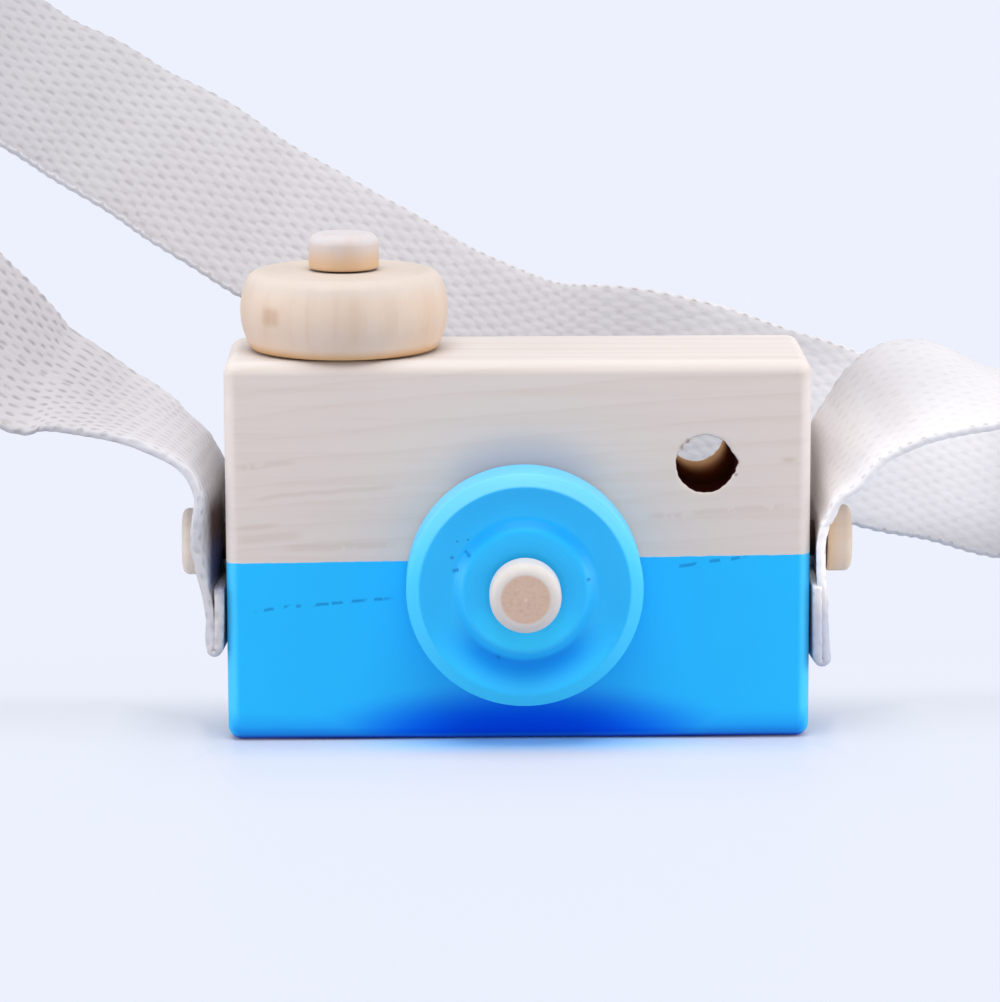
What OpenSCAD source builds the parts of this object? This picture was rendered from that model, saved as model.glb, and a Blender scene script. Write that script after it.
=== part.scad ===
// Wooden toy camera: a pine block with a painted lower half, a lens wheel and a dial wheel that
// turn on glued axle pegs, a viewfinder hole, and a webbing neck strap held by two side pegs.
// Millimetres. +Z is up, the lens faces -Y, +X is to the right of someone facing the lens,
// and the origin is the centre of the base.

/* [Body] */
// Width of the block, side to side
body_w = 95; // [84:0.5:120]
// Depth of the block, front to back
body_d = 30; // [24:0.5:40]
// Height of the block
body_h = 62.5; // [56:0.5:80]
// Radius of the block's rounded edges
body_edge_r = 2.3; // [1:0.1:4]
// Height of the paint line at the left side
paint_left_z = 29.6; // [24:0.1:36]
// Height of the paint line at the right side
paint_right_z = 30.6; // [24:0.1:36]

/* [Viewfinder] */
// Diameter of the hole that a child looks through
finder_d = 9.4; // [6:0.1:12]
// Distance of the hole in from the block's right side
finder_in = 17.2; // [13.5:0.1:21.5]
// Distance of the hole down from the block's top
finder_down = 16.9; // [14.5:0.1:19.5]

/* [Axle pegs] */
// Diameter of every peg's shank
shank_d = 6; // [5:0.1:7]
// Depth that every shank goes into the block
seat_depth = 15; // [10:0.5:18]
// Diameter of the head on the lens peg and the dial peg
axle_head_d = 11.5; // [9.5:0.1:14]
// Height of the head on the lens peg and the dial peg
axle_head_h = 5.8; // [4.5:0.1:8]
// Radius of the rounding at the top of that head
axle_head_r = 1.8; // [0.8:0.1:2.5]
// Diameter of the head on the strap pegs
strap_head_d = 11; // [9:0.1:14]
// Height of the head on the strap pegs
strap_head_h = 4.1; // [3.5:0.1:6]
// Radius of the rounding at the top of the strap pegs' heads
strap_head_r = 1.2; // [0.6:0.1:2]
// Height of the strap pegs above the base
strap_peg_z = 30.5; // [28:0.1:34]

/* [Lens wheel] */
// Diameter of the wheel
lens_d = 38.2; // [34:0.1:42]
// Thickness of the wheel at its rim
lens_t = 10.1; // [8:0.1:13]
// Distance of the lens axis to the right of the middle
lens_x = 0.9; // [-3:0.1:3]
// Height of the lens axis above the base
lens_z = 26.8; // [24:0.1:30]
// Width of the bevel round the front of the rim
lens_bevel_w = 2.1; // [1:0.1:3]
// Depth of that bevel
lens_bevel_t = 1.2; // [0.6:0.1:2]
// Radius of the rounding at the back of the rim
lens_back_r = 0.9; // [0.4:0.1:1.5]
// Diameter of the raised hub
lens_hub_d = 21; // [18:0.1:24]
// Radius of the rounding on the hub's shoulder
lens_hub_r = 1.4; // [0.8:0.1:1.8]
// Depth of the dished channel between the rim and the hub
lens_dish = 1.5; // [0.8:0.1:2]
// Height of the hub's face above the rim's face
lens_hub_proud = 0.3; // [0.1:0.1:0.6]

/* [Dial wheel] */
// Diameter of the wheel at its widest
dial_d = 34; // [30:0.1:36]
// Thickness of the wheel
dial_t = 12.8; // [11:0.1:15]
// Radius of the barrel curve of its side
dial_barrel_r = 12.3; // [11:0.1:16]
// Radius of the rounding of its upper edge
dial_top_r = 2.6; // [1.5:0.1:3.5]
// Radius of the rounding of its lower edge
dial_bottom_r = 1.1; // [0.6:0.1:2]
// Distance of the dial axis in from the block's left side
dial_in = 19.3; // [18.5:0.1:22.5]

/* [Strap] */
// Width of the webbing
strap_w = 30; // [25:1:32]
// Thickness of the webbing
strap_t = 1.5; // [1.2:0.1:1.8]
// Room for the strap between the block's side and a strap peg's head
strap_seat = 3.6; // [3.2:0.1:4.5]
// Length of the folded end below the left peg's axis
strap_drop_left = 17.1; // [14:0.1:22]
// Length of the folded end below the right peg's axis
strap_drop_right = 19.2; // [14:0.1:22]
// Distance of the tucked tail's edge below the peg's axis
strap_tail_drop = 5.2; // [4.5:0.1:8]
// Radius of the fold, at the middle of the webbing
strap_fold_r = 1.2; // [1.1:0.05:1.3]

/* [Strap roll] */
// Radius at which the turns start, outside the bight
roll_core_r = 8; // [7:0.1:9]
// Step from one layer of webbing to the next
roll_step = 2.3; // [2.2:0.05:2.4]
// Width of the tie's tape
tie_w = 5; // [3:0.5:6]
// Thickness of the tie's tape
tie_t = 0.8; // [0.5:0.1:1]

/* [Fits] */
// Radial clearance of a wheel on its shank
wheel_play = 0.1; // [0.05:0.01:0.1]
// Gap between a wheel's face and what it turns against
wheel_float = 0.3; // [0.2:0.05:0.6]
// Radial room for glue round a shank in the block
glue_gap = 0.05; // [0.02:0.01:0.1]
// Air left under the tip of a shank
tip_air = 0.6; // [0.3:0.1:1]
// Gap between the strap and what holds it
strap_ease = 0.15; // [0.1:0.05:0.25]
// Gap between the tie and the webbing that it holds
tie_ease = 0.3; // [0.2:0.05:0.4]

/* [Hidden] */

// Overrun of cuts past the faces they go through
over = 1;
// Sides of a drawn circle, and of the posts that the block is drawn from
round_fn = 64;
post_fn = 32;
// Steps of a rounding in an outline
arc_steps = 8;
// Chamfer at a shank's tip, and rounding under a peg's head
tip_chamfer = 0.8;
head_foot_r = 0.5;

// Places of the pegs' seats, worked out from the block and the wheels
lens_stand = 2 * wheel_float + lens_t + lens_hub_proud;
dial_stand = 2 * wheel_float + dial_t;
axle_shank = seat_depth + lens_stand;
dial_shank = seat_depth + dial_stand;
strap_shank = seat_depth + strap_seat;
wheel_bore_r = shank_d / 2 + wheel_play;

// The strap at a peg: the middle of the webbing, measured out from the block's side
strap_out = strap_seat - strap_ease - strap_t / 2;
tail_out = strap_ease + strap_t / 2;
// Height of a folded end's top above the peg's axis, and the reach of its lean below the peg's head
strap_rise = 5.5;
lean_drop = strap_head_d / 2 + strap_ease;
// Bevel along the webbing's selvedges
selvedge = 0.4;

// Points along each route stretch between two of its chosen points
route_steps = 2;
up = [0, 0, 1];

// The roll: its middle, the half turns of its two arms, and the straight lead at each end
roll_mid = [-147, 2, 14.7];
outer_arm_half_turns = 3;
inner_arm_half_turns = 2;
roll_lead = 3.3;
roll_half_steps = 12;

// Route of the strap from the left peg to the roll: a point, and the direction across the webbing there
left_route = [
    [[-50.2, 0, 36], [0, 1, 0]],
    [[-50.6, 0, 40.5], [0.03, 1, -0.02]],
    [[-52.3, 0, 44.4], [0.06, 1, 0]],
    [[-55.1, 0.4, 47.1], [0.08, 1, 0.04]],
    [[-59.1, 0.9, 49.5], [0.1, 1, 0.08]],
    [[-63.9, 2.2, 51.6], [0.14, 0.98, 0.14]],
    [[-68.3, 3.4, 53.2], [0.18, 0.96, 0.2]],
    [[-74.5, 4.6, 55.8], [0.24, 0.91, 0.33]],
    [[-80, 4.5, 58.4], [0.28, 0.83, 0.48]],
    [[-88, 3.3, 64.8], [0.32, 0.7, 0.64]],
    [[-95, 2.4, 70.5], [0.33, 0.65, 0.69]],
    [[-103, 2, 75.5], [0.2, 0.75, 0.6]],
    [[-112, 2, 77], [0, 0.9, 0.4]],
    [[-120.5, 2, 73], [-0.15, 0.95, 0.2]],
    [[-127, 2, 63], [-0.15, 1, 0.1]],
    [[-131, 2, 49], [-0.1, 1, 0]],
    [[-132, 2, 34], [0, 1, 0]],
    [[-132.1, 2, 18], [0, 1, 0]],
];

// Route of the strap from the roll, over and behind the block, to the right peg
right_route = [
    [[-134.4, 2, 18], [0, 1, 0]],
    [[-135, 2, 33], [0, 1, 0]],
    [[-137, 4, 50], [-0.15, 1, -0.15]],
    [[-138, 8, 68], [-0.35, 0.9, -0.25]],
    [[-136, 14, 86], [-0.6, 0.75, -0.15]],
    [[-130, 22, 102], [-0.7, 0.65, 0.15]],
    [[-119, 30, 113], [-0.5, 0.65, 0.5]],
    [[-105, 36, 115.5], [-0.1, 0.65, 0.75]],
    [[-93, 39, 110.5], [0.25, 0.65, 0.7]],
    [[-82, 39.5, 103.5], [0.35, 0.65, 0.65]],
    [[-74, 39.5, 99], [0.4, 0.6, 0.7]],
    [[-66, 39, 94], [0.4, 0.6, 0.7]],
    [[-58, 38.5, 89.5], [0.4, 0.55, 0.75]],
    [[-49.5, 38, 84], [0.4, 0.55, 0.75]],
    [[-41, 38.5, 78.5], [0.4, 0.55, 0.75]],
    [[-28, 39, 70.5], [0.35, 0.5, 0.8]],
    [[-12, 40, 60.5], [0.3, 0.45, 0.85]],
    [[5, 41, 53.5], [0.15, 0.4, 0.9]],
    [[24, 42, 51], [0.1, 0.3, 0.95]],
    [[43, 43, 45.5], [0.1, 0.25, 0.95]],
    [[60, 44, 39.5], [0.1, 0.3, 0.95]],
    [[73, 47, 35.5], [0.05, 0.45, 0.9]],
    [[86, 47.5, 32.5], [0.1, 0.45, 0.9]],
    [[97, 46, 31], [0.1, 0.45, 0.9]],
    [[106, 40, 31.5], [0, 0.45, 0.9]],
    [[110.5, 31, 35.5], [-0.1, 0.5, 0.85]],
    [[110.5, 21, 41], [-0.2, 0.65, 0.7]],
    [[105.5, 13, 46.5], [-0.15, 0.8, 0.5]],
    [[97, 8, 50.5], [-0.05, 0.95, 0.25]],
    [[89, 5.5, 52], [0.05, 1, 0.1]],
    [[82.5, 4, 53.5], [0, 1, 0.05]],
    [[77, 2.5, 54.8], [0, 1, 0.2]],
    [[71.5, 1, 55.6], [-0.05, 0.95, 0.35]],
    [[66.5, 0, 55.3], [-0.1, 0.9, 0.4]],
    [[62.5, -0.5, 54], [-0.15, 0.9, 0.4]],
    [[58.8, -0.5, 51.5], [-0.15, 0.9, 0.35]],
    [[55.5, -0.5, 48.3], [-0.15, 0.95, 0.25]],
    [[52.8, -0.5, 44.7], [-0.1, 0.95, 0.25]],
    [[51, -0.3, 41], [0, 1, 0.2]],
    [[50.2, 0, 36], [0, 1, 0]],
];

// Points of an arc about a centre, from one angle to another
function arc(centre, r, from, to, steps = arc_steps) =
    [for (i = [0 : steps]) let (a = from + (to - from) * i / steps) centre + r * [cos(a), sin(a)]];

function unit(v) = v / norm(v);
function last(v) = len(v) - 1;

// Outline of a band of one thickness along a line of flat points: one side out, the other side back
function side_of(line, i) =
    let (d = unit(line[min(i + 1, last(line))] - line[max(i - 1, 0)])) [-d.y, d.x];
function band(line, thick) = concat(
    [for (i = [0 : last(line)]) line[i] + side_of(line, i) * thick / 2],
    [for (i = [last(line) : -1 : 0]) line[i] - side_of(line, i) * thick / 2]);

// Smooth curve through points: each stretch is the cubic whose ends follow the points around it
function cubic(a, b, c, d, t) =
    (2 * b + (c - a) * t + (2 * a - 5 * b + 4 * c - d) * t * t + (3 * b - a - 3 * c + d) * t * t * t) / 2;
function smooth(p) = [
    for (i = [0 : last(p) - 1]) for (k = [0 : route_steps - 1])
        cubic(p[max(i - 1, 0)], p[i], p[i + 1], p[min(i + 2, last(p))], k / route_steps),
    p[last(p)]];

// Section of the webbing, as distances across it and through it
webbing_section = [
    [-strap_w / 2, selvedge - strap_t / 2], [selvedge - strap_w / 2, -strap_t / 2],
    [strap_w / 2 - selvedge, -strap_t / 2], [strap_w / 2, selvedge - strap_t / 2],
    [strap_w / 2, strap_t / 2 - selvedge], [strap_w / 2 - selvedge, strap_t / 2],
    [selvedge - strap_w / 2, strap_t / 2], [-strap_w / 2, strap_t / 2 - selvedge]];

// One ring of the webbing at a point, square to the way it runs there
function webbing_ring(at, way, across) =
    let (a = unit(across - (across * way) * way), n = cross(way, a))
    [for (s = webbing_section) at + s[0] * a + s[1] * n];

// Webbing swept along a route, whose two ends run along the given ways
module webbing(route, first_way, last_way) {
    line = smooth([for (r = route) r[0]]);
    across = smooth([for (r = route) unit(r[1])]);
    rings = last(line);
    sides = len(webbing_section);
    points = [for (i = [0 : rings])
        let (way = i == 0 ? first_way : i == rings ? last_way : unit(line[i + 1] - line[i - 1]))
        each webbing_ring(line[i], way, across[i])];
    walls = [for (i = [0 : rings - 1]) for (j = [0 : sides - 1])
        let (k = (j + 1) % sides, a = i * sides, b = a + sides)
        each [[a + j, b + j, b + k], [a + j, b + k, a + k]]];
    caps = [for (j = [1 : sides - 2])
        each [[0, j, j + 1], [rings * sides, rings * sides + j + 1, rings * sides + j]]];
    polyhedron(points = points, faces = concat(walls, caps), convexity = 6);
}

// Line of the roll: the inner arm inwards, the bight through the middle, then the outer arm outwards.
// Each arm's radius grows by one step of the layers in each half turn.
function arm(half_turns, start) = [for (i = [0 : half_turns * roll_half_steps])
    let (turn = i / roll_half_steps, a = start + 180 * turn)
    (roll_core_r + roll_step * turn) * [cos(a), sin(a)]];
function arm_r(half_turns) = roll_core_r + roll_step * half_turns;
function backwards(v) = [for (i = [last(v) : -1 : 0]) v[i]];
function inside(v) = [for (i = [1 : last(v) - 1]) v[i]];
roll_line = concat(
    [[arm_r(inner_arm_half_turns), roll_lead]],
    backwards(arm(inner_arm_half_turns, 0)),
    inside(arc([roll_core_r / 2, 0], roll_core_r / 2, 360, 180)),
    [[0, 0]],
    inside(arc([-roll_core_r / 2, 0], roll_core_r / 2, 0, 180)),
    arm(outer_arm_half_turns, 180),
    [[arm_r(outer_arm_half_turns), roll_lead]]);

// Least gap between layers of the roll: points more than a half turn of the core apart along the line
roll_skip = roll_half_steps;
roll_gap = min([for (i = [0 : last(roll_line)]) for (j = [i + roll_skip : 1 : last(roll_line)])
    norm(roll_line[i] - roll_line[j])]) - strap_t;
function run_length(p) = [for (i = [1 : last(p)]) norm(p[i] - p[i - 1])] * [for (i = [1 : last(p)]) 1];

// Line of a folded strap end, out from the block's side and up: the tail, the fold, and the leg past the peg
function end_line(drop) =
    let (fold_z = strap_fold_r + strap_t / 2 - drop, fold = [tail_out + strap_fold_r, fold_z])
    concat(
        [[tail_out, -strap_tail_drop]],
        arc(fold, strap_fold_r, 180, 360),
        [[strap_out, -lean_drop], [strap_out, strap_rise]]);

echo(roll_least_gap = roll_gap);
echo(strap_length = run_length(smooth([for (r = left_route) r[0]])) + run_length(smooth([for (r = right_route) r[0]]))
    + run_length(roll_line) + run_length(end_line(strap_drop_left)) + run_length(end_line(strap_drop_right)));

// Block with every edge rounded, drawn round four upright posts
module rounded_block() {
    hull()
        for (sx = [-1, 1]) for (sy = [-1, 1])
            translate([sx * (body_w / 2 - body_edge_r), sy * (body_d / 2 - body_edge_r), 0])
                rotate_extrude($fn = post_fn)
                    polygon(concat(
                        arc([0, body_edge_r], body_edge_r, -90, 0),
                        arc([0, body_h - body_edge_r], body_edge_r, 0, 90)));
}

// Space below the paint line, which slopes a little from side to side
module below_paint() {
    translate([0, body_d / 2 + over, 0])
        rotate([90, 0, 0])
            linear_extrude(body_d + 2 * over)
                polygon([
                    [-body_w / 2 - over, -over], [body_w / 2 + over, -over],
                    [body_w / 2 + over, paint_right_z], [-body_w / 2 - over, paint_left_z]]);
}

// Blind hole for a shank, from z = 0 down
module shank_hole() {
    translate([0, 0, -seat_depth - tip_air])
        cylinder(d = shank_d + 2 * glue_gap, h = seat_depth + tip_air + over, $fn = round_fn);
}

// Axle peg standing on z = 0, with its shank below
module axle_peg(head_d, head_h, head_r, shank) {
    rotate_extrude($fn = round_fn)
        polygon(concat(
            [[0, -shank], [shank_d / 2 - tip_chamfer, -shank], [shank_d / 2, tip_chamfer - shank], [shank_d / 2, 0]],
            arc([head_d / 2 - head_foot_r, head_foot_r], head_foot_r, -90, 0),
            arc([head_d / 2 - head_r, head_h - head_r], head_r, 0, 90),
            [[0, head_h]]));
}

// Places of the pegs and wheels on the block's faces
module on_front() { translate([lens_x, -body_d / 2, lens_z]) rotate([90, 0, 0]) children(); }
module on_top() { translate([dial_in - body_w / 2, 0, body_h]) children(); }
module on_left() { translate([-body_w / 2, 0, strap_peg_z]) rotate([0, -90, 0]) children(); }
module on_right() { translate([body_w / 2, 0, strap_peg_z]) rotate([0, 90, 0]) children(); }

// Solid pine block: bare above the paint line, blue below it, with the viewfinder and four blind holes
module body_block() {
    difference() {
        union() {
            color("wheat") difference() {
                rounded_block();
                below_paint();
            }
            color("deepskyblue") intersection() {
                rounded_block();
                below_paint();
            }
        }
        translate([body_w / 2 - finder_in, body_d / 2 + over, body_h - finder_down])
            rotate([90, 0, 0])
                cylinder(d = finder_d, h = body_d + 2 * over, $fn = round_fn);
        on_front() shank_hole();
        on_top() shank_hole();
        on_left() shank_hole();
        on_right() shank_hole();
    }
}

// Turned lens wheel: bevelled rim, dished channel and raised hub
module lens_wheel() {
    rim_r = lens_d / 2;
    hub_r = lens_hub_d / 2;
    face_r = rim_r - lens_bevel_w;
    face_z = lens_t;
    hub_z = lens_t + lens_hub_proud;
    // The channel sinks from the rim's face to the foot of the hub as a quarter of a sine wave
    channel = [for (i = [0 : arc_steps]) let (k = i / arc_steps)
        [face_r + (hub_r - face_r) * k, face_z - lens_dish * sin(90 * k)]];
    color("deepskyblue")
        on_front()
            translate([0, 0, wheel_float])
                rotate_extrude($fn = round_fn)
                    polygon(concat(
                        [[wheel_bore_r, 0]],
                        arc([rim_r - lens_back_r, lens_back_r], lens_back_r, -90, 0),
                        [[rim_r, lens_t - lens_bevel_t]],
                        channel,
                        arc([hub_r - lens_hub_r, hub_z - lens_hub_r], lens_hub_r, 0, 90),
                        [[wheel_bore_r, hub_z]]));
}

module lens_peg() {
    color("burlywood") on_front() translate([0, 0, lens_stand])
        axle_peg(axle_head_d, axle_head_h, axle_head_r, axle_shank);
}

// Turned dial wheel: a barrel side with rounded edges, each rounding tangent to the barrel and to its end
module dial_wheel() {
    mid = [dial_d / 2 - dial_barrel_r, dial_t / 2];
    top_z = dial_t - dial_top_r;
    bottom_z = dial_bottom_r;
    top_r = mid.x + sqrt(pow(dial_barrel_r - dial_top_r, 2) - pow(top_z - mid.y, 2));
    bottom_r = mid.x + sqrt(pow(dial_barrel_r - dial_bottom_r, 2) - pow(bottom_z - mid.y, 2));
    top_a = atan2(top_z - mid.y, top_r - mid.x);
    bottom_a = atan2(bottom_z - mid.y, bottom_r - mid.x);
    color("wheat")
        on_top()
            translate([0, 0, wheel_float])
                rotate_extrude($fn = round_fn)
                    polygon(concat(
                        [[wheel_bore_r, 0]],
                        arc([bottom_r, bottom_z], dial_bottom_r, -90, bottom_a),
                        inside(arc(mid, dial_barrel_r, bottom_a, top_a)),
                        arc([top_r, top_z], dial_top_r, top_a, 90),
                        [[wheel_bore_r, dial_t]]));
}

module dial_peg() {
    color("burlywood") on_top() translate([0, 0, dial_stand])
        axle_peg(axle_head_d, axle_head_h, axle_head_r, dial_shank);
}

module strap_peg() {
    translate([0, 0, strap_seat])
        axle_peg(strap_head_d, strap_head_h, strap_head_r, strap_shank);
}
module strap_peg_left() { color("burlywood") on_left() strap_peg(); }
module strap_peg_right() { color("burlywood") on_right() strap_peg(); }

// Folded end of the strap, out from the block's right side: the webbing's line across its width, and the peg's hole
module strap_end(drop) {
    translate([body_w / 2, 0, strap_peg_z])
        difference() {
            translate([0, strap_w / 2, 0])
                rotate([90, 0, 0])
                    linear_extrude(strap_w)
                        polygon(band(end_line(drop), strap_t));
            rotate([0, 90, 0])
                cylinder(d = shank_d + 2 * strap_ease, h = strap_seat + over, $fn = round_fn);
        }
}
module strap_end_left() { color("linen") mirror([1, 0, 0]) strap_end(strap_drop_left); }
module strap_end_right() { color("linen") strap_end(strap_drop_right); }

// Free stretches of the strap
module strap_run_left() { color("linen") webbing(left_route, up, -up); }
module strap_run_right() { color("linen") webbing(right_route, up, -up); }

// The strap's spare length, rolled up from its bight, lying on its side on the table
module strap_roll() {
    color("linen")
        translate(roll_mid + [0, strap_w / 2, 0])
            rotate([90, 0, 0])
                linear_extrude(strap_w)
                    polygon(band(roll_line, strap_t));
}

// Tape tied round the roll's upper layers, through its middle
module strap_tie() {
    half_w = strap_w / 2 + tie_ease;
    // The layers at the top of the roll, where their curve falls away under the tape's edges
    inner_r = arm_r(1 / 2) - strap_t / 2 - tie_ease;
    low = sqrt(inner_r * inner_r - tie_w * tie_w / 4) - tie_ease;
    high = arm_r(3 / 2) + strap_t / 2 + tie_ease;
    color("lightgray")
        translate(roll_mid - [tie_w / 2, 0, 0])
            rotate([90, 0, 90])
                linear_extrude(tie_w)
                    difference() {
                        translate([-half_w - tie_t, low - tie_t]) square([2 * (half_w + tie_t), high - low + 2 * tie_t]);
                        translate([-half_w, low]) square([2 * half_w, high - low]);
                    }
}

body_block();
lens_wheel();
lens_peg();
dial_wheel();
dial_peg();
strap_peg_left();
strap_peg_right();
strap_end_left();
strap_end_right();
strap_run_left();
strap_run_right();
strap_roll();
strap_tie();
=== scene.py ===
"""Looks of a wooden toy camera: a half-painted pine block with two wheels, their pegs and a webbing strap.

Metres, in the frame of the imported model: +Z up, the lens faces -Y, the origin is the centre of the base.
Lengths in the shapes and their tables are millimetres, and put_mesh turns them into metres.
"""

import bpy
import numpy as np
from mathutils import Matrix


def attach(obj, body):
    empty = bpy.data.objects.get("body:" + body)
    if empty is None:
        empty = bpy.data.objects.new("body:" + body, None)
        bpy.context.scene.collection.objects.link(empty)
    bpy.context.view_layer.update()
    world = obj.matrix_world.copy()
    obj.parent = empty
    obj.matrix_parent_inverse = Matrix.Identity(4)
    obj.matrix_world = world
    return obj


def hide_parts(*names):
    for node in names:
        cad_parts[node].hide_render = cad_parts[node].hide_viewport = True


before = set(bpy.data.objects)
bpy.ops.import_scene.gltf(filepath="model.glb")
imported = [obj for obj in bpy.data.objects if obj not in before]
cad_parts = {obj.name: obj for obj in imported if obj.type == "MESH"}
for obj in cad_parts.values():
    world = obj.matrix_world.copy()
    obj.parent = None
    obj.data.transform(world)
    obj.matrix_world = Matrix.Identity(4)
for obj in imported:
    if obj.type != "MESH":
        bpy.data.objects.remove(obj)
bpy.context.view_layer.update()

MM = 0.001

# Sizes that the pieces share with the solids
BODY_W, BODY_D, BODY_H, EDGE_R = 95.0, 30.0, 62.5, 2.3
FINDER_X, FINDER_Z, FINDER_R = 30.3, 45.6, 4.7
LENS_X, LENS_Z = 0.9, 26.8
DIAL_X = -28.2
STRAP_PEG_Z = 30.5
SHANK_R, BORE_R = 3.0, 3.1
STRAP_W, STRAP_T = 30.0, 1.5


# Shapes

def put_mesh(name, points, quads, uv=None):
    """A smooth mesh piece from points in millimetres and quads of point numbers.

    Points that coincide become one, and a quad that thereby loses a corner becomes a triangle.
    uv gives each point's two map coordinates, in metres.
    """
    keys = np.round(points * 1e4).astype(np.int64)
    _, first, number = np.unique(keys, axis=0, return_index=True, return_inverse=True)
    corners = number.reshape(-1)[quads]
    doubled = corners == np.roll(corners, -1, axis=1)
    sides = 4 - doubled.sum(1)
    keep = ~doubled & (sides >= 3)[:, None]
    totals = keep.sum(1)
    totals = totals[totals > 0]
    mesh = bpy.data.meshes.new(name)
    mesh.vertices.add(len(first))
    mesh.vertices.foreach_set("co", (points[first] * MM).astype(np.float32).ravel())
    mesh.loops.add(int(totals.sum()))
    mesh.loops.foreach_set("vertex_index", corners[keep].astype(np.int32))
    mesh.polygons.add(len(totals))
    mesh.polygons.foreach_set("loop_start", np.r_[0, np.cumsum(totals)[:-1]].astype(np.int32))
    mesh.polygons.foreach_set("loop_total", totals.astype(np.int32))
    mesh.polygons.foreach_set("use_smooth", np.ones(len(totals), bool))
    if uv is not None:
        layer = mesh.uv_layers.new(name="webbing")
        layer.uv.foreach_set("vector", uv[quads][keep].astype(np.float32).ravel())
    mesh.update(calc_edges=True)
    mesh.validate()
    piece = bpy.data.objects.new(name, mesh)
    bpy.context.scene.collection.objects.link(piece)
    return piece


def grid_quads(rows, columns, ring=False):
    """Corners of the cells of a grid of points, row by row. A ring's last column joins its first."""
    r = np.arange(rows - 1)[:, None]
    c = np.arange(columns if ring else columns - 1)[None, :]
    d = (c + 1) % columns
    here, after = r * columns, (r + 1) * columns
    return np.stack([here + c, here + d, after + d, after + c], -1).reshape(-1, 4)


def arc(centre, radius, start, stop, steps):
    """Points of an arc: the centre plus the radius times the cosine and sine of even angles, in degrees."""
    a = np.radians(np.linspace(start, stop, steps + 1))
    return np.column_stack([centre[0] + radius * np.cos(a), centre[1] + radius * np.sin(a)])


def line(start, stop, steps):
    """Even points from start to stop."""
    return np.linspace(start, stop, steps + 1)


def unit(v):
    """Vectors brought to a length of one."""
    return v / np.linalg.norm(v, axis=-1, keepdims=True)


def eased(outline, radius, steps=5):
    """An outline with its corners cut by quadratic curves, from a point before to a point after."""
    p = np.asarray(outline, float)
    corner = p[1:-1]
    before, after = (
        corner + unit(leg) * np.minimum(radius, np.linalg.norm(leg, axis=1, keepdims=True) / 2)
        for leg in (p[:-2] - corner, p[2:] - corner))
    t = np.linspace(0, 1, steps)[None, :, None]
    bends = (1 - t) ** 2 * before[:, None] + 2 * t * (1 - t) * corner[:, None] + t ** 2 * after[:, None]
    return np.vstack([p[:1], bends.reshape(-1, 2), p[-1:]])


def turned(name, profile, onto, steps=160):
    """A turned piece: each point of the profile, as radius and height, goes round the axis in even steps.

    onto takes the two distances across the axis and the height along it to the model's frame.
    """
    profile = np.asarray(profile, float)
    a = np.linspace(0, 2 * np.pi, steps, endpoint=False)
    r, h = profile[:, :1], np.repeat(profile[:, 1:], steps, axis=1)
    points = np.stack(onto(r * np.cos(a), r * np.sin(a), h), -1).reshape(-1, 3)
    return put_mesh(name, points, grid_quads(len(profile), steps, ring=True))


def on_front(p, q, h):
    """Across and up the block's front, with the height out of it, at the lens axis."""
    return LENS_X + p, -BODY_D / 2 - h, LENS_Z + q


def on_top(p, q, h):
    """Across the block's top, with the height up, at the dial axis."""
    return DIAL_X + p, q, BODY_H + h


def on_left(p, q, h):
    """Along and up the block's left side, with the height out of it, at the strap peg."""
    return -BODY_W / 2 - h, -p, STRAP_PEG_Z + q


def on_right(p, q, h):
    """Along and up the block's right side, with the height out of it, at the strap peg."""
    return BODY_W / 2 + h, p, STRAP_PEG_Z + q


def peg(name, onto, stand, head_d, head_h, head_r):
    """An axle peg: a chamfered shank, a flat under the head, a straight side, a quarter round and a dome."""
    r, foot_r, seat = head_d / 2, 0.5, 15.0
    dome = line((r - head_r, 0), (0, 0.08), 8)
    profile = np.vstack([
        [[0, -seat], [SHANK_R - 0.8, -seat], [SHANK_R, 0.8 - seat]],
        [[SHANK_R, stand - 0.05], [SHANK_R + 0.05, stand]],
        line((SHANK_R + 0.3, stand), (r - foot_r - 0.05, stand), 2),
        arc((r - foot_r, stand + foot_r), foot_r, -90, 0, 8),
        arc((r - head_r, stand + head_h - head_r), head_r, 0, 90, 18),
        dome[1:] + [0, stand + head_h],
    ])
    return turned(name, profile, onto, 96)


def lens_profile():
    """The lens wheel: a rounded back, a straight rim and a bevel round a channel and a barely hollow hub.

    The channel sinks as a quarter sine and rises on to the hub as a smooth step. The hub sinks as a
    squared sine.
    """
    rim, lip, hub, back, face, top = 19.1, 17.0, 10.5, 0.3, 10.4, 10.55
    foot, brow, sink = hub + 1.5, hub - 0.9, 1.3
    k = np.linspace(0, 1, 25)[:, None]
    channel = np.hstack([lip + (foot - lip) * k, face - sink * np.sin(np.pi / 2 * k)])
    rise = np.hstack([foot + (brow - foot) * k, face - sink + (top - face + sink) * k * k * (3 - 2 * k)])
    front = np.vstack([[[rim, back + 0.9], [rim, face - 1.2], [lip, face]], channel[2:]])
    return np.vstack([
        [[BORE_R, top - 0.6], [BORE_R, back + 0.2], [BORE_R + 0.2, back]],
        line((BORE_R + 0.6, back), (rim - 0.95, back), 4),
        arc((rim - 0.9, back + 0.9), 0.9, -90, -2, 10),
        eased(front[:4], 0.35)[:-1],
        front[4:],
        rise[1:],
        np.hstack([brow + (BORE_R + 0.4 - brow) * k[1:], top - 0.4 * np.sin(np.pi / 2 * k[1:]) ** 2]),
        [[BORE_R + 0.15, top - 0.44], [BORE_R, top - 0.6]],
    ])


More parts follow.
